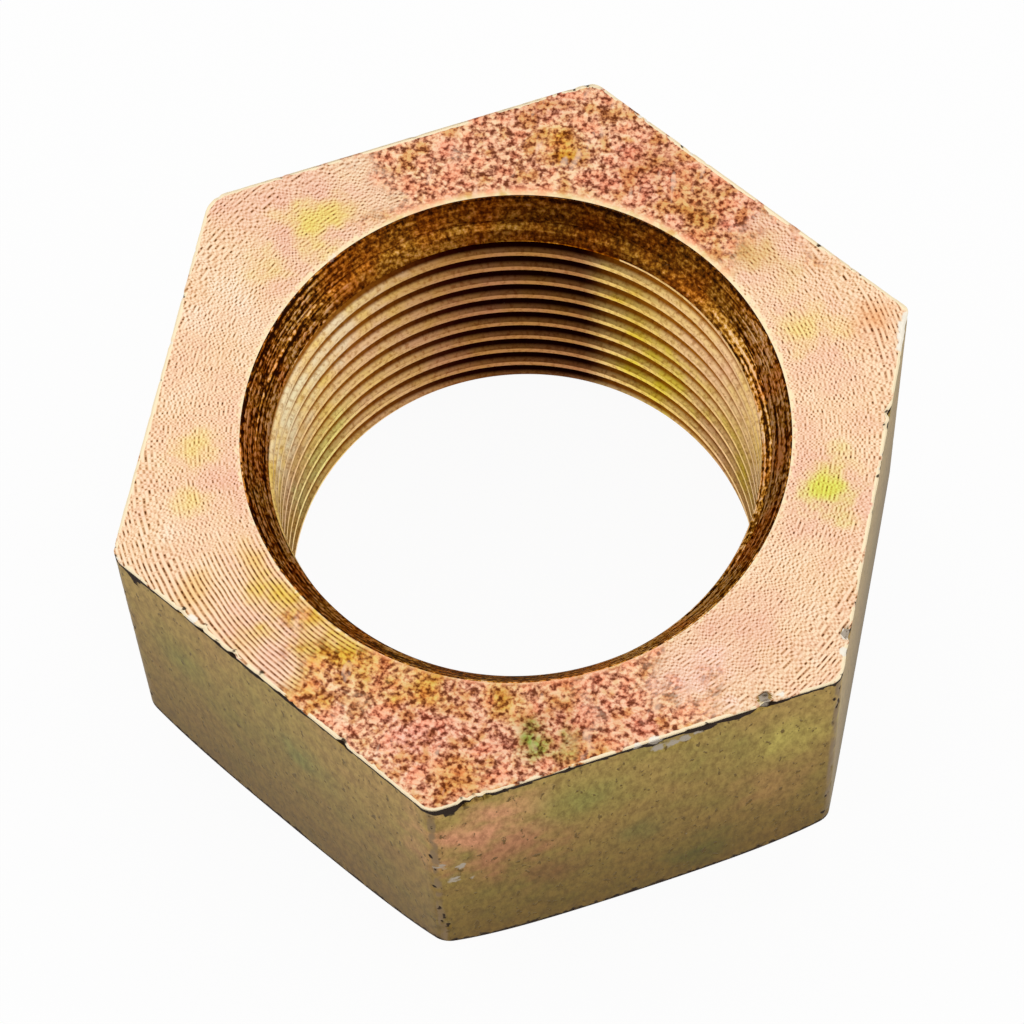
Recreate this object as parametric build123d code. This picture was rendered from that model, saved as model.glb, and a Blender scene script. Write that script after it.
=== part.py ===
from build123d import *
import os
from math import ceil, cos, radians, tan

# A hexagon lock nut, turned from drawn bar: a flat sharp-edged top face, a lower face
# domed away at the corners, and one fine metric thread with a steep countersink at each
# end.
# Frame: millimetres, the thread's axis is Z, the lower face lies on z = 0, and two of
# the hexagon's corners point along Y, so a spanner's jaws close on the flats across X.

os.makedirs("parts", exist_ok=True)

# Hexagon
across_flats = 50.0
nut_height = 25.5
corner_radius = 1.2

# Lower face: a flat seat ring, and outside it one arc that lifts the corners
seat_margin = 1.25
corner_rise = 2.2

# Thread: metric, right-handed, one start, and the bearing at which its groove begins
thread_diameter = 36.0
thread_pitch = 2.0
flank_angle = 60.0
thread_bearing = 158.0

# Countersinks, alike at both ends: how far the mouth stands outside the thread, and
# the slope of the wall from the axis
mouth_margin = 0.9
sink_half_angle = 33.5

# The metric profile: its triangle's height for each millimetre of pitch, and the share
# of that height between the crest flat and the root flat
triangle_height = thread_pitch / 2 / tan(radians(flank_angle / 2))
thread_depth = 5 / 8 * triangle_height

major_radius = thread_diameter / 2
minor_radius = major_radius - thread_depth
mouth_radius = major_radius + mouth_margin
sink_depth = (mouth_radius - minor_radius) / tan(radians(sink_half_angle))


def hexagon_bar():
    """The drawn bar, with its six long edges slightly rounded."""
    outline = RegularPolygon(across_flats / 2, 6, major_radius=False, rotation=30)
    outline = fillet(outline.vertices(), corner_radius)
    return extrude(outline, nut_height)


def turned_envelope():
    """The ring that the lathe leaves: domed lower edge, bore and both countersinks."""
    corner_reach = across_flats / 2 / cos(radians(30))
    seat_edge = (across_flats / 2 - seat_margin, 0)
    dome_end = (corner_reach, corner_rise)
    section = make_face(
        Polyline(
            dome_end,
            (corner_reach, nut_height),
            (mouth_radius, nut_height),
            (minor_radius, nut_height - sink_depth),
            (minor_radius, sink_depth),
            (mouth_radius, 0),
            seat_edge,
        )
        + TangentArc(seat_edge, dome_end, tangent=(1, 0))
    )
    return revolve(Plane.XZ * section, Axis.Z)


def groove_turn():
    """One turn of the tapped groove: a V with a flat root, open a little past the crest."""
    past_crest = thread_depth / 4
    slope = tan(radians(flank_angle / 2))
    root_half = thread_pitch / 16
    open_half = root_half + (thread_depth + past_crest) * slope
    open_radius = minor_radius - past_crest
    profile = make_face(
        Polyline(
            (major_radius, -root_half),
            (major_radius, root_half),
            (open_radius, open_half),
            (open_radius, -open_half),
            (major_radius, -root_half),
        )
    )
    helix = Helix(pitch=thread_pitch, height=thread_pitch, radius=major_radius)
    return Rot(0, 0, thread_bearing) * sweep(Plane.XZ * profile, path=helix, is_frenet=True)


def lock_nut():
    """The finished nut: the bar's outline on the turned ring, tapped one turn at a time."""
    nut = hexagon_bar() & turned_envelope()
    turn = groove_turn()
    for step in range(ceil(nut_height / thread_pitch)):
        nut -= Pos(0, 0, step * thread_pitch) * turn
    return nut


nut = lock_nut()
export_step(nut, "parts/lock_nut.step")
print("solids", len(nut.solids()), "volume", round(nut.volume, 1), "valid", nut.is_valid)
print("minor radius", round(minor_radius, 3), "countersink depth", round(sink_depth, 3))
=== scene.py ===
# %% [markdown]
# # A hexagon lock nut, zinc plated and yellow chromated
#
# The object is one piece of steel: hexagon bar, faced and bored in a lathe, tapped with a fine
# thread, then plated. This lesson builds a turned ring, presses its outline to a hexagon, rolls a
# thread for its bore, and last lays on the plating, which gives nearly all of the colour. The
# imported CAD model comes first, because its size and place decide everything.

from functools import partial
from math import atan2, ceil, cos, degrees, hypot, pi, radians, sin, sqrt, tan
from random import Random

import bmesh
import bpy
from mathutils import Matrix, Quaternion, Vector
from mathutils.kdtree import KDTree
from mathutils.noise import noise


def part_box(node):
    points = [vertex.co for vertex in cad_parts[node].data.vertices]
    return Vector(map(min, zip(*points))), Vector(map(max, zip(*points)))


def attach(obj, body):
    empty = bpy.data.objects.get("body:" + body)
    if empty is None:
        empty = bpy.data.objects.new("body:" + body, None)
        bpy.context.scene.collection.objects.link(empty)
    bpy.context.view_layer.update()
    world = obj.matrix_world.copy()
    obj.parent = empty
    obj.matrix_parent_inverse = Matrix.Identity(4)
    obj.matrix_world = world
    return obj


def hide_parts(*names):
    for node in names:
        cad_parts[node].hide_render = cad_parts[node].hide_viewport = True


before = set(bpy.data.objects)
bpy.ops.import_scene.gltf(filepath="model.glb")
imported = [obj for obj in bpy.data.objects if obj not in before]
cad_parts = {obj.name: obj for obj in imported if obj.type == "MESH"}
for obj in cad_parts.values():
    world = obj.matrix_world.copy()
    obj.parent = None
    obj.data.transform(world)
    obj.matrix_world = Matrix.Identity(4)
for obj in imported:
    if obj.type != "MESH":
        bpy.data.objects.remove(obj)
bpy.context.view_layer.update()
MM = 0.001
_, nut_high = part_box("lock_nut")

# %% [markdown]
# ## The camera
#
# The photograph was taken from above and a little to one side, with a long lens. The numbers were
# found by matching the hexagon's corners and the bore's two circles, so the pieces that follow
# can be compared with it one by one. A camera's own roll is a turn about its viewing axis.

# %% Set the camera
camera_place = Vector((32.91, -128.77, 272.87)) * MM
camera_aim = Vector((-0.639, 0.186, 12.75)) * MM
camera_roll = radians(-3.596)
camera_lens = 144.31


def put_in_scene(name, data):
    """A new object with this data, linked to the scene."""
    piece = bpy.data.objects.new(name, data)
    bpy.context.scene.collection.objects.link(piece)
    return piece


camera_data = bpy.data.cameras.new("camera")
camera_data.lens = camera_lens
camera_data.sensor_width = 36
camera_data.clip_start = 0.01
camera = put_in_scene("camera", camera_data)
camera.location = camera_place
camera.rotation_mode = "QUATERNION"
level_turn = (camera_aim - camera_place).to_track_quat("-Z", "Y")
camera.rotation_quaternion = level_turn @ Quaternion((0, 0, 1), camera_roll)
bpy.context.scene.camera = camera
print("camera distance, in metres:", round((camera_aim - camera_place).length, 3))

# %% [markdown]
# ## Sizes
#
# The overall sizes come from the CAD box, so the dressed nut can't drift from it. A lock nut like
# this leaves the lathe with a hair of burr along its top edge. The body is drawn that much
# smaller than the box, and the burr then reaches the full size. All modelling is in millimetres
# and is turned to metres once, at the end.

# %% Name the sizes, in millimetres
height = nut_high.z / MM
half_flats = nut_high.x / MM
burr_size = 0.08
burr_rise = 0.05
body_top = height - burr_rise
body_half = half_flats - burr_size
body_reach = body_half / cos(radians(30))

seat_margin = 1.25
seat_radius = half_flats - seat_margin
corner_rise = 2.2
pitch = 2.0
major_radius = 18.0
minor_radius = major_radius - 5 / 16 * pitch / tan(radians(30))
mouth_margin = 0.9
mouth_radius = major_radius + mouth_margin
sink_half_angle = 33.5
sink_slope = tan(radians(sink_half_angle))
thread_bearing = 158.0
rim_depth = 0.12

# The real corners are rounded by wear and by knocks, so each bearing has its own radius
corner_rounds = {-90: 1.25, -30: 1.1, 30: 0.8, 90: 1.2, 150: 2.1, 210: 1.4}
print("body across flats:", round(2 * body_half, 2), "crest radius:", round(minor_radius, 3))

# %% [markdown]
# ## The thread
#
# A thread is a ramp wound round a cylinder. It is simplest to draw flat: a profile of crests and
# grooves, extruded sideways while it climbs by one pitch, gives a fluted sheet. In this flat
# state the two countersinks are plain slanting planes, so bisect_plane cuts their outline
# exactly. Rolling the sheet up then makes the bore, and the ends meet one turn higher.

# %% Draw the thread flat
columns = 432
crest_half = 0.24
edge_run = 0.03
edge_fall = 0.025
root_half = 0.07
root_run = 0.08
root_fall = 0.05
half = pitch / 2

# One turn's profile: heights from the middle of the crest, and radii
turn_profile = [
    (-crest_half, minor_radius),
    (crest_half, minor_radius),
    (crest_half + edge_run, minor_radius + edge_fall),
    (half - root_half - root_run, major_radius - root_fall),
    (half - root_half, major_radius),
    (half + root_half, major_radius),
    (half + root_half + root_run, major_radius - root_fall),
    (pitch - crest_half - edge_run, minor_radius + edge_fall),
]
first_crest = half - pitch * thread_bearing / 360


def flat_thread():
    """The fluted sheet: x is the turn in degrees, y the radius, z the height."""
    sheet = bmesh.new()
    last = None
    for turn in range(-2, ceil(height / pitch) + 1):
        for rise, radius in turn_profile:
            point = sheet.verts.new((0, radius, first_crest + turn * pitch + rise))
            if last:
                sheet.edges.new((last, point))
            last = point
    rail = list(sheet.edges)
    step = Vector((360 / columns, 0, pitch / columns))
    for _ in range(columns):
        grown = bmesh.ops.extrude_edge_only(sheet, edges=rail)["geom"]
        points = [v for v in grown if isinstance(v, bmesh.types.BMVert)]
        bmesh.ops.translate(sheet, vec=step, verts=points)
        rail = [e for e in grown if isinstance(e, bmesh.types.BMEdge)]
    return sheet


def sink_radius(z):
    """The radius of whichever countersink is at this height, or less than the bore between them."""
    depth = min(z, height - z)
    return mouth_radius - depth * sink_slope


thread = flat_thread()
print("flat thread:", len(thread.verts), "points")

# %% [markdown]
# ## Countersinks, and the sheet rolled up
#
# Each countersink's cone is a slanting plane here. It is cut in without removing anything, then
# every point nearer the axis than the cone moves out to it. The sheet is trimmed a little inside
# both faces, which leaves room for the rim of the mouth.

# %% Cut the countersinks and roll the sheet
def cut(mesh, place, normal, **clear):
    """One bisect_plane over everything that the mesh holds."""
    everything = mesh.verts[:] + mesh.edges[:] + mesh.faces[:]
    bmesh.ops.bisect_plane(mesh, geom=everything, dist=1e-5, plane_co=place, plane_no=normal, **clear)


cut(thread, (0, 0, rim_depth), (0, 0, -1), clear_outer=True)
cut(thread, (0, 0, height - rim_depth), (0, 0, 1), clear_outer=True)
cut(thread, (0, mouth_radius, 0), (0, 1, sink_slope))
cut(thread, (0, mouth_radius, height), (0, 1, -sink_slope))

for point in thread.verts:
    bearing = radians(point.co.x)
    radius = max(point.co.y, sink_radius(point.co.z))
    point.co.x = radius * cos(bearing)
    point.co.y = radius * sin(bearing)

bmesh.ops.remove_doubles(thread, verts=thread.verts[:], dist=1e-3)
print("rolled bore:", len(thread.faces), "faces")

# %% [markdown]
# ## The turned ring
#
# Outside the bore, the nut is a ring with a flat top, a straight wall and a domed lower edge. Its
# half section is listed here as corner points. A stretch that will get dents, such as the top
# edge, is given more rows than one that stays plain.

# %% List the half section
# Corner points of the section, outwards over the top and down the wall: radius, height, and
# the number of rows up to the next point
top_section = [
    (mouth_radius - 0.02, body_top - 0.06, 1),
    (mouth_radius + 0.03, body_top - 0.015, 1),
    (mouth_radius + 0.13, body_top, 17),
    (body_reach - 0.45, body_top, 2),
    (body_reach - 0.12, body_top + 0.005, 1),
    (body_reach, height, 1),
    (body_reach + burr_size, height - 0.03, 1),
    (body_reach + 0.05, height - 0.12, 1),
    (body_reach, height - 0.18, 1),
    (body_reach, height - 0.3, 4),
    (body_reach, height - 1.0, 25),
    (body_reach, corner_rise, 1),
]
dome_run = body_reach - seat_radius
dome_radius = (dome_run**2 + corner_rise**2) / (2 * corner_rise)
dome_angle = atan2(dome_run, dome_radius - corner_rise)
dome_rows = 12

# The flat seat ring, inwards from the dome to the lower mouth
seat_section = [
    (seat_radius, 0, 9),
    (mouth_radius + 0.13, 0, 1),
    (mouth_radius + 0.03, 0.015, 1),
    (mouth_radius - 0.02, 0.06, 1),
]
rows_in_all = sum(rows for _, _, rows in top_section + seat_section)
print("dome radius:", round(dome_radius, 2), "rows:", rows_in_all)

# %% [markdown]
# ## The ring is spun
#
# The corner points become a chain of edges. The dome is one point spun about the dome's own
# centre, each long edge is divided into its rows, and a full spin about the nut's axis makes the
# ring. use_merge closes it where the last step meets the first.

# %% Spin the half section
def dome_height(radius):
    """How far the lower face has lifted at this radius."""
    return dome_radius - sqrt(dome_radius**2 - max(0, radius - seat_radius) ** 2)


def chain(mesh, section):
    """Edges through the section's points, each with its number of rows. Returns the end points."""
    rows_of = mesh.edges.layers.int["rows"]
    points = [mesh.verts.new((radius, 0, z)) for radius, z, _ in section]
    for start, end, (_, _, rows) in zip(points, points[1:], section):
        mesh.edges.new((start, end))[rows_of] = rows
    return points[0], points[-1]


def turned_ring():
    """The half section, divided into rows and spun full circle about the nut's axis."""
    ring = bmesh.new()
    rows_of = ring.edges.layers.int.new("rows")
    _, wall_foot = chain(ring, top_section)
    seat_start, _ = chain(ring, seat_section)
    dome = bmesh.ops.spin(
        ring,
        geom=[wall_foot],
        cent=(seat_radius, 0, dome_radius),
        axis=(0, 1, 0),
        angle=dome_angle,
        steps=dome_rows,
    )
    dome_end = next(g for g in dome["geom_last"] if isinstance(g, bmesh.types.BMVert))
    bmesh.ops.pointmerge(ring, verts=[dome_end, seat_start], merge_co=seat_start.co)
    for rows in sorted({e[rows_of] for e in ring.edges if e[rows_of] > 1}):
        long_edges = [e for e in ring.edges if e[rows_of] == rows]
        bmesh.ops.subdivide_edges(ring, edges=long_edges, cuts=rows - 1)
    bmesh.ops.spin(
        ring,
        geom=ring.verts[:] + ring.edges[:],
        cent=(0, 0, 0),
        axis=(0, 0, 1),
        angle=2 * pi,
        steps=columns,
        use_merge=True,
    )
    return ring


ring = turned_ring()
print("turned ring:", len(ring.faces), "faces, lowest point", round(min(v.co.z for v in ring.verts), 4))

# %% [markdown]
# ## Pressing the outline to a hexagon
#
# Boolean cuts would leave long thin faces. Here the ring's own grid is pressed inwards instead,
# so its rows follow the hexagon and stay even, ready for dents. The columns crowd together
# towards the six corners, where the outline bends. The lower face keeps its round seat, and only
# what lies outside the seat is pressed, down to the dome's height at its new radius.

# %% Press the hexagon
crowding = 0.55


def corner_near(bearing):
    """The bearing of the nearest corner, in degrees, from -90 to 210."""
    return (round((degrees(bearing) - 30) / 60) * 60 + 30 + 90) % 360 - 90


def off_corner(bearing):
    """The angle from the nearest corner, in radians."""
    return abs((bearing - radians(corner_near(bearing)) + pi) % (2 * pi) - pi)


def outline(bearing):
    """The hexagon's reach at a bearing in radians: straight flats and rounded corners."""
    away = off_corner(bearing)
    rounding = corner_rounds[corner_near(bearing)]
    centre = (body_half - rounding) / cos(radians(30))
    if away < atan2(rounding / 2, centre + rounding * cos(radians(30))):
        return centre * cos(away) + sqrt(rounding**2 - (centre * sin(away)) ** 2)
    return body_half / cos(radians(30) - away)


def press(point):
    """Moves one point of the turned ring to its place on the hexagon nut."""
    x, y, z = point.co
    radius = hypot(x, y)
    bearing = atan2(y, x)
    upper = z > corner_rise - 1e-4
    start = mouth_radius if upper else seat_radius
    share = max(0, (radius - start) / (body_reach - start))
    bearing -= crowding / 6 * share * sin(6 * bearing - pi)
    reach = outline(bearing)
    radius = radius if share == 0 else start + share * (reach - start)
    if not upper:
        z += dome_height(radius) - dome_height(hypot(x, y))
    elif share > 0.999 and z < body_top - 1e-4:
        foot = dome_height(reach)
        z = body_top - (body_top - z) * (body_top - foot) / (body_top - corner_rise)
    point.co = (radius * cos(bearing), radius * sin(bearing), z)


for point in ring.verts:
    press(point)
print("pressed outline, across flats:", round(2 * max(v.co.x for v in ring.verts), 3))

# %% [markdown]
# ## One skin
#
# The bore and the outside are two sheets with open round edges at both faces. Bridging those
# loops gives each mouth its narrow rim and closes the skin, and after merging doubles the
# normals are recalculated, because a spin can leave a surface inside out.

# %% Join the bore to the outside
def joined(*sheets):
    """One mesh that holds a copy of each sheet."""
    whole = bmesh.new()
    for sheet in sheets:
        carrier = bpy.data.meshes.new("carrier")
        sheet.to_mesh(carrier)
        sheet.free()
        whole.from_mesh(carrier)
        bpy.data.meshes.remove(carrier)
    return whole


nut = joined(ring, thread)
for face_side in (-1, 1):
    rims = [e for e in nut.edges if e.is_boundary and (e.verts[0].co.z - height / 2) * face_side > 0]
    bmesh.ops.bridge_loops(nut, edges=rims)
bmesh.ops.recalc_face_normals(nut, faces=nut.faces[:])
print("open edges:", sum(not e.is_manifold for e in nut.edges), "faces:", len(nut.faces))

# %% [markdown]
# ## Knocks
#
# The nut has been dropped, gripped and thrown in a box with others. Each knock is a place, how far
# it reaches, a push and how bare it leaves the zinc. A push inwards makes a notch or a bruise. The
# bold ones are listed one by one, and a seeded random generator adds the small nicks along the
# edges, so the nut looks the same each time the script runs.

# %% List the knocks, in millimetres
# Each has its place, reach and push, and how bare it leaves the zinc
knocks = [
    ((20.2, -16.75, 25.45), 0.75, (-0.2, 0.5, -0.35), 1),
    ((19.7, -17.1, 25.1), 0.5, (-0.15, 0.3, -0.1), 0),
    ((21.2, -16.2, 25.3), 0.5, (-0.05, 0.1, 0), 0.8),
    ((13.8, -20.85, 24.1), 0.8, (-0.04, 0.07, 0), 0.9),
    ((14.6, -20.35, 24.0), 0.9, (-0.06, 0.1, 0), 1),
    ((15.4, -19.9, 24.1), 0.9, (-0.06, 0.1, 0), 1),
    ((16.2, -19.45, 24.3), 0.7, (-0.04, 0.07, 0), 0.8),
    ((13.6, -21.0, 25.3), 0.8, (0, 0, 0), 1),
    ((12.6, -21.6, 25.4), 0.6, (0, 0, 0), 0.8),
    ((2.0, -27.5, 25.2), 0.55, (-0.15, 0.26, -0.1), 0),
    ((2.7, -27.1, 25.15), 0.6, (-0.2, 0.36, -0.1), 0),
    ((3.4, -26.7, 25.2), 0.55, (-0.15, 0.26, -0.1), 0),
    ((-18.5, -17.9, 25.4), 0.6, (0, 0, 0), 0.8),
    ((-19.3, -17.4, 25.3), 0.45, (0.15, 0.2, -0.1), 0),
    ((-17.6, -18.4, 25.3), 0.45, (0.15, 0.2, -0.1), 0),
    ((-15.2, -19.9, 25.35), 0.45, (0.12, 0.22, -0.1), 0),
    ((-13.0, -21.0, 25.35), 0.4, (0.1, 0.16, -0.1), 0),
    ((-6.6, -24.9, 25.35), 0.5, (0.1, 0.22, -0.1), 0),
    ((25.0, 13.6, 25.4), 1.0, (-0.05, -0.02, -0.06), 1),
    ((25.0, 12.9, 25.4), 1.1, (-0.05, 0, -0.06), 1),
    ((25.0, 12.1, 25.4), 1.0, (-0.04, 0, -0.06), 1),
    ((25.0, 11.3, 25.4), 0.9, (-0.04, 0, -0.06), 1),
    ((24.85, 6.1, 25.35), 0.55, (-0.3, 0, -0.1), 0),
    ((24.85, 5.1, 25.35), 0.4, (-0.2, 0, -0.1), 0),
    ((24.8, -10.9, 25.45), 0.7, (-0.2, 0, -0.2), 1),
    ((24.8, -12.3, 25.4), 0.6, (-0.05, 0, -0.05), 0.9),
    ((0.3, -28.4, 15.6), 0.9, (0, 0.06, 0), 0.8),
    ((1.5, -27.8, 14.8), 0.8, (-0.03, 0.05, 0), 0.8),
    ((1.0, -28.1, 12.9), 0.9, (-0.03, 0.05, 0), 0.8),
    ((2.2, -27.4, 12.2), 0.6, (-0.02, 0.03, 0), 0.8),
    ((-14.8, 11.2, 25.45), 0.5, (0.05, -0.04, -0.06), 0.75),
    ((-15.3, 11.2, 25.5), 0.6, (0, 0, 0), 0.6),
]
chance = Random(36)

# How many small nicks the top edge gets, and each of the six long edges
edge_nicks = 50
corner_nicks = 20


def on_outline(bearing, z):
    """The point of the nut's outline at a bearing in radians and a height."""
    return Vector((outline(bearing) * cos(bearing), outline(bearing) * sin(bearing), z))


def nick(bearing, z, reach, depth, bareness):
    """A small knock on the outline, pushed towards the axis."""
    inwards = Vector((-cos(bearing), -sin(bearing), 0)) * depth
    knocks.append((on_outline(bearing, z), reach, inwards, bareness))


for _ in range(edge_nicks):
    bareness = chance.choice((0.0, 0.0, 0.8))
    reach, depth = chance.uniform(0.2, 0.4), chance.uniform(0.03, 0.1)
    nick(chance.uniform(-pi, pi), height - 0.1, reach, depth, bareness)
for corner in corner_rounds:
    for _ in range(corner_nicks):
        bearing = radians(corner + chance.uniform(-0.8, 0.8))
        reach, depth = chance.uniform(0.2, 0.45), chance.uniform(0.03, 0.1)
        nick(bearing, chance.uniform(2.6, height - 0.6), reach, depth, 0.0)
print("knocks:", len(knocks))

# %% [markdown]
# ## Divide the grid where it is hit
#
# The grid is too coarse for a half-millimetre nick, and too fine to divide everywhere. A k-d tree
# answers which knocks are near a point, so only the edges around them are divided.

# %% Divide around the knocks
hits = KDTree(len(knocks))
for number, (place, _, _, _) in enumerate(knocks):
    hits.insert(place, number)
hits.balance()
widest = max(reach for _, reach, _, _ in knocks)


def felt(point, margin=1.0):
    """Pairs of a knock that reaches this point and its strength there, 1 in its middle."""
    found = []
    for _, number, distance in hits.find_range(point, widest * margin):
        reach = knocks[number][1] * margin
        if distance < reach:
            found.append((knocks[number], (1 - (distance / reach) ** 2) ** 2))
    return found


near = [e for e in nut.edges if felt(e.verts[0].co, 1.25) or felt(e.verts[1].co, 1.25)]
bmesh.ops.subdivide_edges(nut, edges=near, cuts=1, use_grid_fill=True)
bmesh.ops.triangulate(nut, faces=[f for f in nut.faces if len(f.verts) > 4])
print("divided", len(near), "edges, faces now", len(nut.faces))

# %% [markdown]
# ## What the plating has to know
#
# Some of the finish follows the shape: the brink of the top edge is rubbed pale, the crevice just
# under it and the foot get painted shade, the long edges are scuffed, and dirt sits in the nicks.
# These go into the mesh as named values at its points, which the materials read with an
# Attribute node.

# %% Mark the points
brink, crevice_shade, long_edge, bare, dirt = [
    nut.verts.layers.float.new(name) for name in ("brink", "crevice_shade", "long_edge", "bare", "dirt")
]


def ease(value, start, end):
    """Smoothly 0 at start and 1 at end."""
    share = min(1, max(0, (value - start) / (end - start)))
    return share * share * (3 - 2 * share)


for point in nut.verts:
    x, y, z = point.co
    for (_, _, _, bareness), strength in felt(point.co):
        point[bare] = max(point[bare], bareness * strength)
        if bareness == 0:
            point[dirt] = max(point[dirt], strength**2)
    if hypot(x, y) < mouth_radius + 0.2:
        continue
    bearing = atan2(y, x)
    inside = outline(bearing) - hypot(x, y)
    down = height - z
    ragged = 0.5 + 0.5 * noise(point.co * 1.9)
    spotty = ease(noise(point.co * 0.6) + 0.5 * noise(point.co * 2.3), -0.6, -0.1)
    blotch = max(0, noise(point.co * 0.45) - 0.1)
    # Rubbed pale: up to half a millimetre of the top face, and a hair down its edge
    if down < 0.1:
        point[brink] = spotty * ease(inside, 0.05 + 0.5 * ragged, 0.02)
    if inside < 0.2:
        point[brink] = max(point[brink], spotty * ease(down, 0.1, 0.04))
        # Painted shade under the edge, by a quarter of a millimetre or more, and along the foot
        reach = 0.22 + 0.35 * ragged + blotch
        point[crevice_shade] = ease(down, 0.04, 0.12) * ease(down, 1.4 * reach, reach)
        point[crevice_shade] = max(point[crevice_shade], 0.8 * ease(z - dome_height(hypot(x, y)), 0.5, 0.0))
        point[long_edge] = ease(off_corner(bearing) * hypot(x, y), 0.65, 0.1)
print("marked", len(nut.verts), "points")

# %% [markdown]
# ## The knocks are struck
#
# The marks were set first, because they are found by where a point lay before it moved. Now each
# knock pushes its points, strongest in its middle. The burr on the top edge is pressed back in
# places, which makes the edge waver as it does on a nut that has been handled.

# %% Push the points
for point in nut.verts:
    x, y, z = point.co
    reach = outline(atan2(y, x))
    if z > height - 0.4 and hypot(x, y) > reach - 0.2:
        ragged = 0.55 + 0.45 * noise(point.co * 0.9) + 0.3 * noise(point.co * 3.1)
        over = max(0, hypot(x, y) - reach) * (1 - min(1, max(0.1, ragged)))
        point.co.x -= over * x / hypot(x, y)
        point.co.y -= over * y / hypot(x, y)
    for (_, _, push, _), strength in felt(Vector((x, y, z))):
        point.co += Vector(push) * strength * (1 + 0.5 * noise(point.co * 2.7))
print("highest point after the knocks:", round(max(v.co.z for v in nut.verts), 3))

# %% [markdown]
# ## Faces by how they were made
#
# A turned face, a drawn flat, a bored countersink and a tapped thread take plating differently,
# so the nut has one material for each. A face is sorted by where it lies.

# %% Sort the faces
TURNED, FLAT, SINK, THREAD, UNDER = range(5)
sink_depth = (mouth_radius - minor_radius) / sink_slope + 0.1


def way_made(face):
    """Which of the five finishes a face has."""
    x, y, z = face.calc_center_median()
    radius = hypot(x, y)
    if radius < mouth_radius + 0.03:
        coned = all(abs(hypot(v.co.x, v.co.y) - sink_radius(v.co.z)) < 0.01 for v in face.verts)
        return SINK if z > height - sink_depth or z < sink_depth and coned else THREAD
    if z > body_top - 0.1 and face.normal.z > 0.4 or z > body_top - 0.02:
        return TURNED
    if z < dome_height(radius) + 0.05:
        return UNDER
    return FLAT


nut.normal_update()
for face in nut.faces:
    face.material_index = way_made(face)
for way, title in enumerate(("turned", "flat", "sink", "thread", "under")):
    print(title, sum(f.material_index == way for f in nut.faces))

# %% [markdown]
# ## From the drawing to the object
#
# So far the mesh has existed only in bmesh, in millimetres. It is scaled to metres in the mesh
# itself, so the object keeps a scale of 1 and its origin in the nut's axis on the floor. Edges
# sharper than 25 degrees stay sharp, so that the thread's flanks end crisply in the countersinks.

# %% Make the object
bmesh.ops.scale(nut, vec=(MM, MM, MM), verts=nut.verts[:])
nut_mesh = bpy.data.meshes.new("plated_nut")
nut.to_mesh(nut_mesh)
nut.free()
nut_mesh.shade_smooth()
nut_mesh.set_sharp_from_angle(angle=radians(25))
plated_nut = put_in_scene("plated_nut", nut_mesh)
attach(plated_nut, "root")
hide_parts("lock_nut")
nut_mesh.calc_loop_triangles()
print("triangles:", len(nut_mesh.loop_triangles))

# %% [markdown]
# ## Tools for the materials
#
# Colours are written as sRGB hex, as a paint program shows them, and one function turns them
# into the linear values that Blender mixes. A second function adds a node with its settings and
# its links. It counts only the sockets that the settings leave open, as the editor shows them.
# Bound to one tree by partial, it is called add from here on.

# %% Colour and node tools
# Settings that many nodes share: a soft ramp, a colour laid over another, one that tints it
SMOOTH = {"interpolation_type": "SMOOTHSTEP"}
OVER = {"data_type": "RGBA"}
TINT = {**OVER, "blend_type": "MULTIPLY"}


def linear(code):
    """An sRGB hex colour as linear red, green and blue, with alpha 1."""
    parts = [int(code[i : i + 2], 16) / 255 for i in (1, 3, 5)]
    return (*[p / 12.92 if p <= 0.04045 else ((p + 0.055) / 1.055) ** 2.4 for p in parts], 1)


def add_node(tree, kind, inputs=(), stops=(), **settings):
    """Adds one node. Its inputs are values, nodes or sockets, by position or by name."""
    node = tree.nodes.new("ShaderNode" + kind)
    for name, value in settings.items():
        setattr(node, name, value)
    shown = [socket for socket in node.inputs if socket.enabled]
    for key, value in inputs.items() if isinstance(inputs, dict) else enumerate(inputs):
        socket = shown[key] if isinstance(key, int) else next(s for s in shown if s.name == key)
        if isinstance(value, bpy.types.Node):
            value = next(output for output in value.outputs if output.enabled)
        if isinstance(value, bpy.types.NodeSocket):
            tree.links.new(value, socket)
        else:
            socket.default_value = value
    for number, (position, code) in enumerate(stops):
        elements = node.color_ramp.elements
        stop = elements[number] if number < 2 else elements.new(position)
        stop.position = position
        stop.color = linear(code)
    return node


def emptied(owner):
    """Clears the nodes of a material or a world, and returns add_node bound to its tree."""
    owner.use_nodes = True
    owner.node_tree.nodes.clear()
    return partial(add_node, owner.node_tree)


print("middle grey in linear light:", round(linear("#808080")[0], 3))

# %% [markdown]
# ## Places on the nut
#
# Patterns read the object's own coordinates, in millimetres. Round patterns need more: noise is
# drawn out along circles by feeding it the direction from the axis, scaled so that one unit is
# the length of a dash, together with the distance across the circles. There is no seam. A noise's
# Scale is a count per millimetre here: 3 draws grains of a third of a millimetre.

# %% Coordinates for the patterns
# Round patterns are true to size at this distance from the axis, in millimetres
true_radius = 22.0


def place_in_mm(add):
    """The object's own coordinates, in millimetres."""
    place = add("TexCoord").outputs["Object"]
    return add("VectorMath", [place, (1 / MM, 1 / MM, 1 / MM)], operation="MULTIPLY")


def from_axis(add, place):
    """The direction from the nut's axis, and the distance in millimetres."""
    level = add("VectorMath", [place, (1, 1, 0)], operation="MULTIPLY")
    direction = add("VectorMath", [level], operation="NORMALIZE")
    return direction, add("VectorMath", [level], operation="LENGTH")


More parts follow.
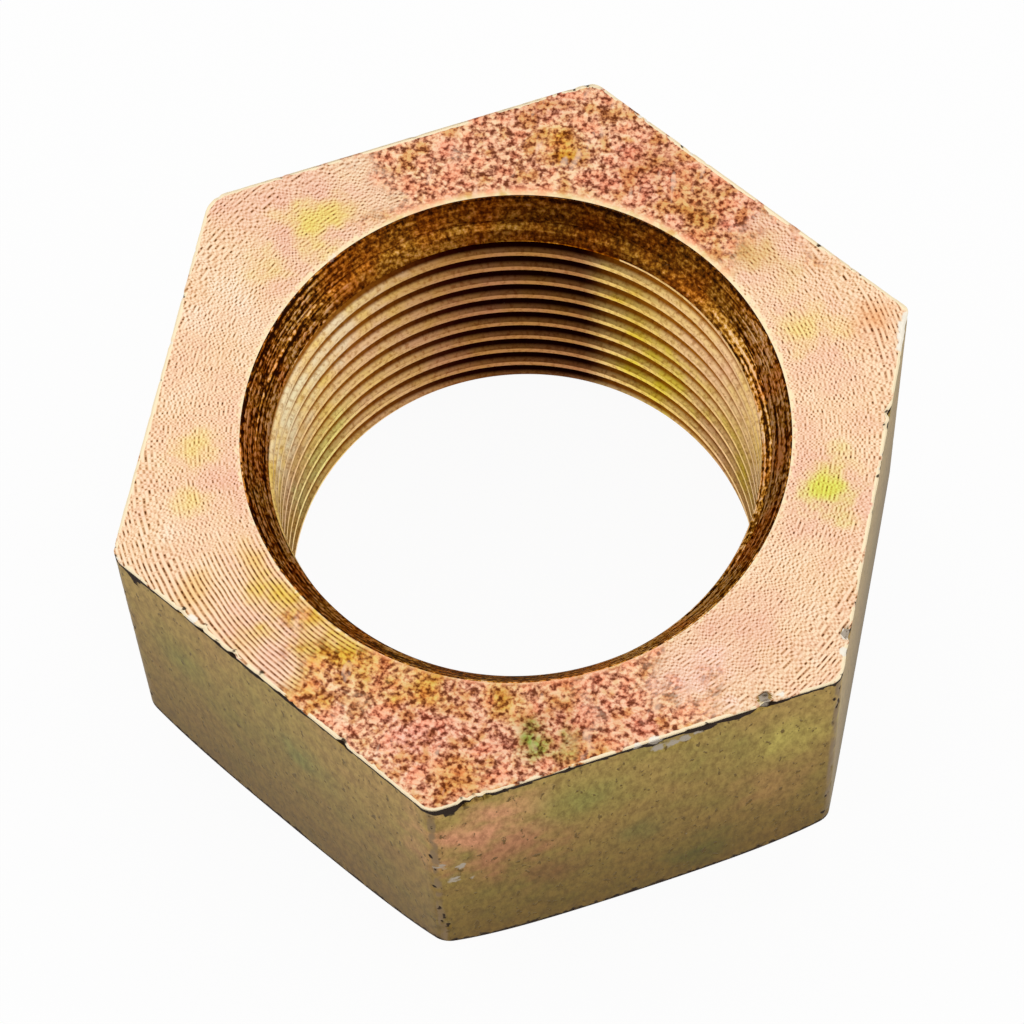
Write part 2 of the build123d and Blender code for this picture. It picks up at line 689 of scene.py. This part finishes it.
def round_noise(add, place, along, across):
    """Noise drawn out along a lathe tool's circles, its spots so long and so wide in mm."""
    direction, radius = from_axis(add, place)
    arc = add("VectorMath", [direction, true_radius / along], operation="SCALE")
    rise = add("SeparateXYZ", [place]).outputs["Z"]
    rings = add("Math", [rise, radius], operation="ADD")
    rings = add("Math", [rings, 1 / across], operation="MULTIPLY")
    rings = add("CombineXYZ", [0.0, 0.0, rings])
    where = add("VectorMath", [arc, rings], operation="ADD")
    return add("TexNoise", {"Vector": where, "Scale": 1.0, "Detail": 1.0})


print("true radius, as a share of the mouth's:", round(true_radius / mouth_radius, 2))

# %% [markdown]
# ## The chromate film
#
# Yellow chromate is a clear film on zinc, about half a thousandth of a millimetre thick. Like oil
# on water, its colour follows its thickness: cream, peach and pink, then gold, yellow and green
# where it dried last. Soft noise stands for the thickness, and a colour ramp reads it. A smooth
# flat, a torn countersink and a tapped thread hold different films, so each has its own ramp.

# %% Film colours, from thin to thick
face_film = [(0.2, "#F9E7CE"), (0.4, "#F7DAB8"), (0.6, "#F4CEB4"), (0.8, "#F0BEAA")]
flat_film = [(0.2, "#BC9458"), (0.5, "#B89A54"), (0.8, "#A8984C")]
bore_film = [(0.2, "#FCC89C"), (0.4, "#FED49A"), (0.6, "#FED880"), (0.8, "#F4D468")]
# The countersink's ramp also holds its painted glints, in its upper stops
sink_film_and_glints = [(0.0, "#361A08"), (0.35, "#885014"), (0.55, "#C4882A"), (0.75, "#EAB058"), (1.0, "#FFD4A0")]
under_film = [(0.2, "#E0C498"), (0.5, "#D8B48C"), (0.8, "#CCBC6C")]

# How wide the film's clouds are, in millimetres
turned_clouds, drawn_clouds, bored_clouds = 9.0, 10.0, 8.0
print("the film's clouds, in millimetres:", turned_clouds, drawn_clouds, bored_clouds)

# %% [markdown]
# ## Pools
#
# The bath ran off unevenly and left pools: gold beside the mouth, a spot of yellow green on the
# right, clouds of olive and pink on the flats. Noise can't put them where the real nut has them.
# So each pool is placed one by one and laid over the film with its own colour and a ragged shore.

# %% List the pools
# Each has the place of its middle and its reach, in millimetres, and its colour. All on the top
# face lie at the same height, which is added below the list.
face_pools = [
    (-1.9, -23.6, 3.0, "#F8CCBC"),
    (4.9, 22.6, 3.0, "#F2BEA6"),
    (12.6, -20.0, 2.0, "#F4C4AC"),
    (15.6, -15.8, 2.4, "#FAD6C8"),
    (6.0, 22.9, 1.6, "#DEB880"),
    (9.6, 20.4, 2.6, "#E0BC7C"),
    (13.3, 17.1, 2.4, "#E4C080"),
    (23.1, 13.1, 1.6, "#F0B884"),
    (1.1, -26.0, 1.8, "#E8BC7C"),
    (9.0, -23.0, 2.0, "#E4B878"),
    (7.0, -20.4, 2.0, "#E8B498"),
    (-15.2, -18.2, 1.4, "#EAC880"),
    (-9.8, -21.9, 1.4, "#E8C070"),
    (-18.6, -16.0, 1.3, "#F0CC90"),
    (-15.3, -12.9, 1.6, "#F0CC88"),
    (-12.2, -14.9, 2.4, "#E6C650"),
    (-9.2, -17.2, 2.6, "#E4C44C"),
    (-5.5, -18.9, 2.4, "#E2C04C"),
    (-1.7, -20.0, 1.8, "#E4C468"),
    (3.0, -19.9, 1.6, "#E2C06C"),
    (7.0, -19.0, 1.3, "#E6C47C"),
    (-1.2, 23.6, 1.4, "#E4BE50"),
    (-1.2, 22.3, 1.0, "#E4BE50"),
    (-16.0, 15.0, 1.6, "#F0D688"),
    (-17.3, 13.1, 2.2, "#F0DE80"),
    (-19.0, 9.5, 1.6, "#F2DC9C"),
    (17.8, 11.4, 2.2, "#F2DC94"),
    (-21.5, -5.6, 1.4, "#F2DC94"),
    (-20.9, -9.0, 1.2, "#F2DC98"),
    (21.4, 0.9, 1.4, "#E6E070"),
    (21.9, -0.9, 1.5, "#E0E264"),
    (5.6, -22.7, 1.4, "#62A404"),
    (6.8, -22.3, 1.3, "#86B010"),
]
face_pools = [(x, y, height, reach, code) for x, y, reach, code in face_pools]
flat_pools = [
    (3.0, -27.0, 19.0, 4.0, "#F6AE88"),
    (5.0, -26.0, 15.0, 3.2, "#D0906A"),
    (7.6, -24.5, 9.0, 2.6, "#A87C4C"),
    (20.9, -16.8, 10.9, 2.6, "#D0A468"),
    (9.0, -23.7, 19.5, 3.0, "#A49E50"),
    (12.4, -21.7, 11.0, 2.2, "#A09450"),
    (22.0, -16.2, 18.5, 3.0, "#D0C064"),
    (16.6, -19.3, 4.0, 2.6, "#8C8C44"),
    (-3.8, -26.7, 12.5, 2.5, "#B08C50"),
    (-10.7, -22.7, 15.9, 3.0, "#A09C54"),
    (-20.5, -17.0, 16.3, 2.4, "#A49C50"),
]
bore_pools = [
    (13.3, 10.6, 11.0, 3.0, "#FFDC78"),
    (14.8, 8.3, 8.0, 2.4, "#F4D850"),
    (5.0, 16.2, 17.5, 2.6, "#F4CC50"),
    (5.6, 16.0, 12.5, 3.0, "#F4D438"),
    (6.4, 15.7, 7.0, 3.4, "#F8E030"),
    (8.9, 14.5, 10.0, 2.6, "#F0D44C"),
    (-15.0, 8.0, 23.0, 5.0, "#FFECC8"),
    (-16.9, 2.0, 18.0, 5.0, "#FFEEC0"),
    (-15.7, 6.4, 7.0, 2.4, "#FAE884"),
    (-16.4, 4.4, 6.5, 3.0, "#FAF08C"),
    (-16.9, 1.4, 5.0, 3.0, "#FFF4A0"),
]
print("pools, on the top, the flats and the bore:", len(face_pools), len(flat_pools), len(bore_pools))

# %% [markdown]
# ## Film, wear and metal
#
# Every surface is built in the real order: the film goes on the zinc, wear then takes it off or
# packs dirt on it, and the metal shader comes last. Dirt, and the painted shade laid on with it,
# is dull and no metal. Without that, a dark stain on a steep flat would shine like the clean zinc
# beside it.

# %% Lay the film
def film(add, place, patch, stops, pools=(), level=0.5, spread=0.6, ragged=1.0):
    """The film's colour in clouds one patch wide, with pools laid on, and the share pooled."""
    broad = add("TexNoise", {"Vector": place, "Scale": 1 / patch, "Detail": 1.0})
    small = add("TexNoise", {"Vector": place, "Scale": 4 / patch, "Detail": 4.0})
    thickness = add("Math", [small, spread, level - spread], operation="MULTIPLY_ADD")
    thickness = add("Math", [broad, spread, thickness], operation="MULTIPLY_ADD")
    colour = add("ValToRGB", [thickness], stops=stops)
    pooled = 0.0
    for x, y, z, reach, code in pools:
        away = add("VectorMath", [place, (x, y, z)], operation="DISTANCE")
        away = add("Math", [small, 4 * reach * ragged, away], operation="MULTIPLY_ADD")
        # The noise adds 2 * ragged reaches on average, which the shore's two ends allow for
        shore = [away, (2 * ragged - 0.4) * reach, (2 * ragged + 1.6) * reach, 1.0, 0.0]
        share = add("MapRange", shore, **SMOOTH)
        colour = add("Mix", [share, colour, linear(code)], **OVER)
        pooled = add("Math", [share, pooled], operation="MAXIMUM")
    return colour, pooled


print("the film's small clouds on the top face, in millimetres:", turned_clouds / 4)

# %% [markdown]
# ## Wear
#
# The values marked on the mesh are smooth, and real wear isn't. Noise is added to each value
# before it is cut off, which breaks every patch into a ragged outline. The order counts: bare
# zinc from a fresh knock lies over the dirt.

# %% Wear the film
def worn(add, place, colour, rubbed, bared, dirt_and_shade_colour):
    """The colour after wear, with a rubbed brink, dirt, painted shade and bare zinc, and the share of
    dirt and painted shade.
    """
    # The outlines are torn every half millimetre
    ragged = add("TexNoise", {"Vector": place, "Scale": 1.9, "Detail": 4.0})
    ragged = add("Math", [ragged, 1.5, -0.75], operation="MULTIPLY_ADD")
    shares = []
    # The crevice mark is painted shade, laid on in the same colour as the dirt of the nicks
    for names, code in ((["brink"], rubbed), (["crevice_shade", "dirt"], dirt_and_shade_colour), (["bare"], bared)):
        share = 0.0
        for name in names:
            mark = add("Attribute", attribute_name=name).outputs["Fac"]
            share = add("Math", [mark, share], operation="MAXIMUM")
        share = add("Math", [share, ragged], operation="ADD")
        share = add("MapRange", [share, 0.35, 0.65], **SMOOTH)
        colour = add("Mix", [share, colour, linear(code)], **OVER)
        shares.append(share)
    return colour, shares[1]


def finish_metal(add, colour, dirt_and_shade, roughness, relief, depth, **constants):
    """The metal shader, dull and no metal where there is dirt and painted shade, with relief so many mm
    deep.
    """
    bump = add("Bump", {"Strength": 1.0, "Distance": depth * MM, "Height": relief})
    metal = add("Math", [1.0, dirt_and_shade], operation="SUBTRACT")
    dull = add("Mix", [dirt_and_shade, roughness, 0.95])
    inputs = {"Base Color": colour, "Metallic": metal, "Roughness": dull, "Normal": bump}
    shader = add("BsdfPrincipled", {**inputs, **constants})
    add("OutputMaterial", [shader])


def plate(name, finish):
    """Adds one material to the nut. The finish builds its tree from the place in millimetres."""
    material = bpy.data.materials.new(name)
    add = emptied(material)
    finish(add, place_in_mm(add))
    nut_mesh.materials.append(material)
    print(name + ":", len(material.node_tree.nodes), "nodes")


print("marks for wear:", [a.name for a in nut_mesh.attributes if a.data_type == "FLOAT"])

# %% [markdown]
# ## Tool marks
#
# The lathe's tool left a groove every 0.3 mm. Brown chromate stayed in the grooves, so the eye
# sees broken dashes along the circles. Near and left they are painted as unbroken lines, a painted
# reflection of grooves that catch the light. A sine across the radius gives the grooves and round
# noise the breaks. Their product is high only where both are.

# %% Tool marks
feed = 0.31
print("grooves from the mouth to a flat:", round((half_flats - mouth_radius) / feed))


def groove_wave(add, place, radius, bold):
    """A wave across the tool's grooves, 1 in their bottoms. It wanders a little every 2 mm."""
    wander = add("TexNoise", {"Vector": place, "Scale": 0.5, "Detail": 1.0})
    wave = add("Math", [wander, 0.2, radius], operation="MULTIPLY_ADD")
    wave = add("Math", [bold, -0.6, wave], operation="MULTIPLY_ADD")
    wave = add("Math", [wave, 2 * pi / feed], operation="MULTIPLY")
    return add("Math", [wave], operation="SINE")


def tool_dashes(add, place, pooled):
    """Dashes of 0.2 mm that the grooves hold, drawn into lines in the pools and, as painted reflection,
    near and left, and the grooves.
    """
    direction, radius = from_axis(add, place)
    bold = add("MapRange", [radius, 24.0, 27.0], **SMOOTH)
    groove = groove_wave(add, place, radius, bold)
    dots = round_noise(add, place, along=0.22, across=0.6)
    dots = add("Math", [dots, 6.0, -3.0], operation="MULTIPLY_ADD")
    # Painted reflection: near and left the grooves catch the light, so they are drawn as unbroken lines
    left = add("VectorMath", [direction, (-0.59, -0.81, 0)], operation="DOT_PRODUCT")
    lit_and_pooled_lines = add("MapRange", [left, 0.9, 0.99], **SMOOTH)
    lit_and_pooled_lines = add("Math", [pooled, 0.4, lit_and_pooled_lines], operation="MULTIPLY_ADD")
    calm = add("MapRange", [lit_and_pooled_lines, 0.0, 1.0, 1.0, 0.5])
    dots = add("Math", [dots, calm], operation="MULTIPLY")
    lines = add("Math", [bold, 0.5, lit_and_pooled_lines], operation="MULTIPLY_ADD")
    lines = add("Math", [lines, 1.1], operation="MINIMUM")
    dots = add("Math", [dots, lines], operation="ADD")
    dashes = add("Math", [dots, groove], operation="MULTIPLY")
    return add("MapRange", [dashes, -0.3, 1.5]), groove


# %% [markdown]
# ## Grains
#
# Towards the far and the near side the film shows grains of about 0.3 mm instead, cream on red
# brown, painted darker there as painted shade where the face catches less light, with blotches of
# tan and pink 1 to 2 mm wide. The share of grains follows the direction from the axis. A cloud
# added to it keeps the border from being a straight ray.

# %% Grains
grains_per_mm = 3.0
print("grains, in millimetres:", round(1 / grains_per_mm, 2))


def grain_shade_share(add, direction, cloud):
    """1 where the face is painted darker in grains, as painted shade, 0 where the tool's grooves show."""
    edge = add("Math", [cloud, 0.7, -0.35], operation="MULTIPLY_ADD")
    grains_and_shade = edge
    for towards in ((-0.02, 1.04, 0), (0.07, -0.97, 0)):
        near = add("VectorMath", [direction, towards], operation="DOT_PRODUCT")
        near = add("Math", [near, edge], operation="ADD")
        grains_and_shade = add("Math", [grains_and_shade, near], operation="MAXIMUM")
    return add("MapRange", [grains_and_shade, 0.74, 0.87], **SMOOTH)


def add_blotches(add, place, colour, grains_and_shade):
    """Tan and pink blotches 1.4 mm wide, and pale strokes 2 mm long, among the grains."""
    blotch = add("TexNoise", {"Vector": place, "Scale": 0.7, "Detail": 2.0})
    blotch = add("ValToRGB", [blotch], stops=[(0.36, "#ECD8B0"), (0.5, "#FFFFFF"), (0.64, "#FFE0D8")])
    blotch = add("Mix", [1.0, colour, blotch], **TINT)
    colour = add("Mix", [grains_and_shade, colour, blotch], **OVER)
    turned = {"Location": (3, 0, 0), "Rotation": (0, 0, radians(25)), "Scale": (1.3, 0.45, 1)}
    stroke = add("Mapping", {"Vector": place, **turned})
    stroke = add("TexNoise", {"Vector": stroke, "Scale": 1.0, "Detail": 1.0})
    stroke = add("MapRange", [stroke, 0.66, 0.76, 0.0, 0.5])
    stroke = add("Math", [stroke, grains_and_shade], operation="MULTIPLY")
    return add("Mix", [stroke, colour, linear("#FAD6B8")], **OVER)


# %% [markdown]
# ## The turned top face
#
# Film, dashes and grains come together here. A cream band without marks runs round the mouth,
# where the countersink's edge was wiped. Anisotropy blurs reflections across the grooves, as a
# turned face does, and a quarter turn of its tangent sets it that way.

# %% Turned face
dash_tints = [(0.0, "#FFFFFF"), (0.35, "#E6D2C4"), (0.65, "#BAA28E"), (0.88, "#866C54"), (1.0, "#5A422A")]
grain_tints = [(0.0, "#FFFCF4"), (0.25, "#FAE0D2"), (0.55, "#D4AA9C"), (0.8, "#A07468"), (1.0, "#784C3C")]


def turned_face(add, place):
    """Thin iridescent chromate over tool marks."""
    direction, radius = from_axis(add, place)
    ground, pooled = film(add, place, turned_clouds, face_film, face_pools, level=0.45)
    # Clouds 4 mm wide move the border of the grains, and redden the dashes between them
    cloud = add("TexNoise", {"Vector": place, "Scale": 0.25, "Detail": 3.0})
    dashes, groove = tool_dashes(add, place, pooled)
    grain = add("TexNoise", {"Vector": place, "Scale": grains_per_mm, "Detail": 2.0, "Roughness": 0.5})
    grain = add("MapRange", [grain, 0.62, 0.34])
    # Painted shade: the far and the near side are darker, in grains
    grains_and_shade = grain_shade_share(add, direction, cloud)

    # The cream band is wider on the far side of the mouth, and the grains make it lumpy
    far = add("VectorMath", [direction, (0, 0.2, 0)], operation="DOT_PRODUCT")
    clear = add("Math", [far, mouth_radius - 0.15], operation="ADD")
    clear = add("Math", [radius, clear], operation="SUBTRACT")
    clear = add("Math", [grain, -0.4, clear], operation="MULTIPLY_ADD")
    clear = add("MapRange", [clear, -0.1, 0.4], **SMOOTH)
    ground = add("Mix", [clear, linear("#F6E2B8"), ground], **OVER)
    dashes = add("Math", [dashes, clear], operation="MULTIPLY")
    grain = add("Math", [grain, clear], operation="MULTIPLY")

    dashed = add("ValToRGB", [dashes], stops=dash_tints)
    grainy = add("ValToRGB", [grain], stops=grain_tints)
    tint = add("Mix", [grains_and_shade, dashed, grainy], **OVER)
    redder = add("ValToRGB", [cloud], stops=[(0.42, "#FFF0EC"), (0.58, "#FFF4DC")])
    tint = add("Mix", [dashes, tint, redder], **TINT)
    colour = add("Mix", [1.0, ground, tint], **TINT)
    colour = add_blotches(add, place, colour, grains_and_shade)

    colour, dirt_and_shade = worn(add, place, colour, rubbed="#F4E2BE", bared="#F0E8D8", dirt_and_shade_colour="#4A3822")
    marks = add("Mix", [grains_and_shade, dashes, grain])
    relief = add("Math", [marks, -0.7, groove], operation="MULTIPLY_ADD")
    tangent = add("Tangent", direction_type="RADIAL", axis="Z")
    across = {"Tangent": tangent, "Anisotropic": 0.5, "Anisotropic Rotation": 0.25}
    finish_metal(add, colour, dirt_and_shade, roughness=0.38, relief=relief, depth=0.005, **across)


plate("yellow chromate on turned zinc", turned_face)

# %% [markdown]
# ## The flats
#
# The flats are the drawn bar's own skin: smoother than a turned face, and drawn out upwards, so
# the film looks deeper there, olive with clouds of pink brown and green. Small pits in the bar
# show as dark dots, and the long edges are scuffed grey. Painted shade makes them browner towards
# the foot, where they mirror the nut's shadow on the floor.

# %% Drawn flats
def drawn_flats(add, place):
    """Deep olive chromate with pits and scuffed long edges."""
    colour, _ = film(add, place, drawn_clouds, flat_film, flat_pools, ragged=0.7)
    # Painted shade: browner towards the foot, where the flats mirror the nut's shadow on the floor
    rise = add("SeparateXYZ", [place]).outputs["Z"]
    foot = add("MapRange", [rise, 2.0, 23.0, 1.0, 0.0])
    foot_shade_colour = add("Mix", [1.0, colour, linear("#AEA072")], **TINT)
    colour = add("Mix", [foot, colour, foot_shade_colour], **OVER)

    # Fine mottle, scuffs and pits, 0.45, 0.7 and 0.4 mm wide and drawn out to twice that upwards
    drawn = add("Mapping", {"Vector": place, "Scale": (1, 1, 0.45)})
    fine = add("TexNoise", {"Vector": drawn, "Scale": 2.2, "Detail": 4.0, "Roughness": 0.7})
    cloudy = add("ValToRGB", [fine], stops=[(0.34, "#C8C0B4"), (0.62, "#FFFFFF")])
    colour = add("Mix", [1.0, colour, cloudy], **TINT)

    long_edge = add("Attribute", attribute_name="long_edge").outputs["Fac"]
    scuff = add("TexNoise", {"Vector": drawn, "Scale": 1.5, "Detail": 4.0})
    grey = add("Math", [scuff, long_edge], operation="MULTIPLY")
    grey = add("MapRange", [grey, 0.3, 0.55, 0.0, 0.85], **SMOOTH)
    colour = add("Mix", [grey, colour, linear("#846C50")], **OVER)

    specks = add("TexNoise", {"Vector": drawn, "Scale": 2.6, "Detail": 2.0})
    specks = add("Math", [scuff, 0.35, specks], operation="MULTIPLY_ADD")
    specks = add("MapRange", [specks, 0.81, 0.89, 0.0, 0.8], **SMOOTH)
    colour = add("Mix", [specks, colour, linear("#5C4418")], **OVER)
    colour, dirt_and_shade = worn(add, place, colour, rubbed="#E8D8AE", bared="#B0A494", dirt_and_shade_colour="#281404")
    relief = add("Math", [specks, -1.0, scuff], operation="MULTIPLY_ADD")
    glancing = {"Specular Tint": linear("#E6E2D8")}
    finish_metal(add, colour, dirt_and_shade, roughness=0.42, relief=relief, depth=0.02, **glancing)


plate("yellow chromate on drawn bar", drawn_flats)

# %% [markdown]
# ## The countersinks
#
# The cone at each end of the thread was bored quickly. It is rough, so it holds the thickest
# chromate: dark brown, with copper and gold glints on the high spots, painted in as painted
# highlights over the film's grain. Towards the sides, where the light runs along the cut, the
# painted glints join into dashes and a few tool rings show.

# %% Countersinks
bore_wear = {"rubbed": "#E8D0A0", "bared": "#E8E0D4", "dirt_and_shade_colour": "#3A2410"}


def bored_sink(add, place):
    """Thick brown chromate with painted copper glints."""
    direction, radius = from_axis(add, place)
    # Painted highlights: towards the sides the glints join into dashes, where the light runs along the
    # cut
    side = add("VectorMath", [direction, (-0.1, 0.99, 0)], operation="DOT_PRODUCT")
    side = add("MapRange", [side, 0.8, 0.42], **SMOOTH)
    rings = round_noise(add, place, along=9.0, across=0.3)
    rings = add("Math", [rings, 2.2, -1.1], operation="MULTIPLY_ADD")
    dashes = round_noise(add, place, along=0.5, across=0.28)
    dashes = add("Math", [dashes, 2.4, -1.2], operation="MULTIPLY_ADD")
    dashes = add("Math", [rings, dashes], operation="ADD")
    grain = add("TexNoise", {"Vector": place, "Scale": grains_per_mm, "Detail": 3.0, "Roughness": 0.6})
    grain = add("Math", [grain, 1.9, -0.49], operation="MULTIPLY_ADD")
    grain = add("Math", [rings, 0.25, grain], operation="MULTIPLY_ADD")
    glints = add("Math", [dashes, side, grain], operation="MULTIPLY_ADD")

    # More painted glints to the right and towards the thread, few far right, none along the mouth
    right = add("VectorMath", [direction, (0.09, 0, 0)], operation="DOT_PRODUCT")
    dark = add("VectorMath", [direction, (0.42, 0.91, 0)], operation="DOT_PRODUCT")
    dark = add("MapRange", [dark, 0.75, 1.0, 0.0, -0.16], **SMOOTH)
    inner = add("MapRange", [radius, mouth_radius - 0.9, mouth_radius - 1.6, 0.0, 0.08], **SMOOTH)
    outer = add("MapRange", [radius, mouth_radius - 0.35, mouth_radius - 0.1, 0.0, -0.25], **SMOOTH)
    for more in (right, dark, inner, outer):
        glints = add("Math", [glints, more], operation="ADD")
    colour = add("ValToRGB", [glints], stops=sink_film_and_glints)
    # Warmer and cooler places about 3 mm wide
    cloud = add("TexNoise", {"Vector": place, "Scale": 0.3, "Detail": 3.0})
    warm = add("ValToRGB", [cloud], stops=[(0.4, "#FFFFFF"), (0.62, "#FFDABE")])
    colour = add("Mix", [1.0, colour, warm], **TINT)
    colour, dirt_and_shade = worn(add, place, colour, **bore_wear)
    glancing = {"Specular Tint": linear("#A8905C")}
    finish_metal(add, colour, dirt_and_shade, roughness=0.42, relief=glints, depth=0.015, **glancing)


plate("thick chromate on a bored countersink", bored_sink)

# %% [markdown]
# ## The thread
#
# The tap left the crests bright and the flanks smooth, running round with the cut. The film is
# thin on the crests and brown in the roots, with painted shade there too. On the far side, where
# the thread mirrors the dark room, painted shade dulls the crests and turns the roots a dark,
# reddish brown. It ends quickly on its right and fades slowly on its left.

# %% Thread
def tapped_thread(add, place):
    """Peach and gold chromate on the crests, brown film and painted shade in the roots."""
    direction, radius = from_axis(add, place)
    crest, _ = film(add, place, bored_clouds, bore_film, bore_pools)
    # The film is a little uneven, in spots of 0.3 mm
    fine = add("TexNoise", {"Vector": place, "Scale": 3.2, "Detail": 3.0, "Roughness": 0.6})
    cloudy = add("ValToRGB", [fine], stops=[(0.34, "#D6C2AE"), (0.52, "#FFFFFF")])
    crest = add("Mix", [1.0, crest, cloudy], **TINT)

    towards = add("SeparateXYZ", [direction])
    # Painted shade on the far side, where the thread mirrors the dark room: 0 there, 1 on the other
    # sides. The crests there are tinted duller.
    outside_far_shade = 0.0
    for axis, start, end in (("X", 0.06, 0.2), ("X", -0.4, -0.98), ("Y", 0.45, 0.2)):
        share = add("MapRange", [towards.outputs[axis], start, end], **SMOOTH)
        outside_far_shade = add("Math", [share, outside_far_shade], operation="MAXIMUM")
    shade = add("Mix", [outside_far_shade, linear("#BA9A8C"), (1, 1, 1, 1)], **OVER)
    crest = add("Mix", [1.0, crest, shade], **TINT)

    # The roots' brown film and painted shade start deeper on the left, where only the crests show
    left = add("MapRange", [towards.outputs["X"], -0.75, -0.97])
    root_film_and_shade = add("Mix", [left, linear("#9E6E2A"), linear("#9A6E32")], **OVER)
    # On the far side the roots get a near-black painted shade
    root_film_and_shade = add("Mix", [outside_far_shade, linear("#3E140E"), root_film_and_shade], **OVER)
    root = add("Mix", [1.0, crest, root_film_and_shade], **TINT)
    start = add("Math", [left, 0.07, minor_radius + 0.12], operation="MULTIPLY_ADD")
    depth = add("MapRange", [radius, start, minor_radius + 0.4], **SMOOTH)
    colour = add("Mix", [depth, crest, root], **OVER)
    streaks = round_noise(add, place, along=1.5, across=0.3)
    colour, dirt_and_shade = worn(add, place, colour, **bore_wear)
    glancing = {"Specular Tint": linear("#F8ECD8")}
    finish_metal(add, colour, dirt_and_shade, roughness=0.34, relief=streaks, depth=0.015, **glancing)


plate("yellow chromate on a tapped thread", tapped_thread)

# %% [markdown]
# ## The lower face
#
# The photograph doesn't show it. It was turned in the same lathe as the top, so it gets the same
# dashes over a duller film, as on a face that lay on others. It is the last of the five finishes,
# which were added in the order in which the faces were sorted.

# %% Lower face
def domed_under(add, place):
    """Duller film over the same tool marks."""
    ground, _ = film(add, place, turned_clouds, under_film)
    dashes, groove = tool_dashes(add, place, 0.0)
    dashes = add("Math", [dashes, 0.6], operation="MULTIPLY")
    tint = add("ValToRGB", [dashes], stops=dash_tints)
    colour = add("Mix", [1.0, ground, tint], **TINT)
    colour, dirt_and_shade = worn(add, place, colour, rubbed="#E8D8AE", bared="#E4E2E2", dirt_and_shade_colour="#54402A")
    finish_metal(add, colour, dirt_and_shade, roughness=0.4, relief=groove, depth=0.005)


plate("yellow chromate on the turned lower face", domed_under)
print("materials on the nut:", len(nut_mesh.materials))

# %% [markdown]
# ## The floor
#
# The floor is white paper that shows as plain white and keeps a faint shadow. The camera and
# reflections see mostly an even white, while the light that the paper throws back on the nut
# stays that of real paper.

# %% Floor
def lay_floor():
    """A plain white floor with its own material."""
    sheet = bmesh.new()
    bmesh.ops.create_grid(sheet, x_segments=1, y_segments=1, size=2.0)
    mesh = bpy.data.meshes.new("floor")
    sheet.to_mesh(mesh)
    sheet.free()
    piece = put_in_scene("floor", mesh)
    material = bpy.data.materials.new("white paper")
    add = emptied(material)
    paper = add("BsdfDiffuse", [linear("#F4F4F4")])
    white = add("Emission", [(1, 1, 1, 1), 1.0])
    path = add("LightPath")
    seen = [path.outputs["Is Camera Ray"], path.outputs["Is Glossy Ray"]]
    seen = add("Math", seen, operation="MAXIMUM")
    seen = add("Math", [seen, path.outputs["Is Transmission Ray"]], operation="MAXIMUM")
    seen = add("Math", [seen, 0.95], operation="MULTIPLY")
    mixed = add("MixShader", [seen, paper, white])
    add("OutputMaterial", [mixed])
    mesh.materials.append(material)


lay_floor()

# %% [markdown]
# ## Softbox and studio
#
# Bare metal shows what stands around it, so the light is drawn as surroundings. The world is
# white. A wide softbox hangs where the top face mirrors the camera. Behind the camera the room
# is darker, and the far side of the thread and of the countersink reflect that.

# %% Light
def hang_softbox(place, size, radiance):
    """A wide softbox that faces the nut. Its power is worked out from how bright it looks."""
    lamp = bpy.data.lights.new("softbox", "AREA")
    lamp.shape = "RECTANGLE"
    lamp.size, lamp.size_y = size
    lamp.energy = radiance * pi * size[0] * size[1]
    piece = put_in_scene("softbox", lamp)
    piece.location = place
    piece.rotation_mode = "QUATERNION"
    piece.rotation_quaternion = (-Vector(place)).to_track_quat("-Z", "Y")


def light_studio(strength, front, dark):
    """A white world, darker towards the front. It is dark up to about 75 degrees high."""
    world = bpy.data.worlds.new("studio")
    bpy.context.scene.world = world
    add = emptied(world)
    place = add("TexCoord").outputs["Generated"]
    level = add("VectorMath", [place, (1, 1, 0)], operation="MULTIPLY")
    level = add("VectorMath", [level], operation="NORMALIZE")
    facing = add("VectorMath", [level, front], operation="DOT_PRODUCT")
    facing = add("MapRange", [facing, 0.7, 0.9], **SMOOTH)
    rise = add("SeparateXYZ", [place]).outputs["Z"]
    rise = add("MapRange", [rise, 0.95, 0.99, 1.0, 0.0], **SMOOTH)
    share = add("Math", [facing, rise], operation="MULTIPLY")
    colour = add("Mix", [share, (1, 1, 1, 1), linear(dark)], **OVER)
    sky = add("Background", [colour, strength])
    add("OutputWorld", [sky])


hang_softbox(place=(-0.08, 0.3, 0.62), size=(0.7, 0.32), radiance=0.25)
light_studio(strength=1.0, front=(0, -1, 0), dark="#70665E")
bpy.context.scene.view_settings.view_transform = "Standard"
print("softbox, in watts:", round(bpy.data.lights["softbox"].energy, 3))
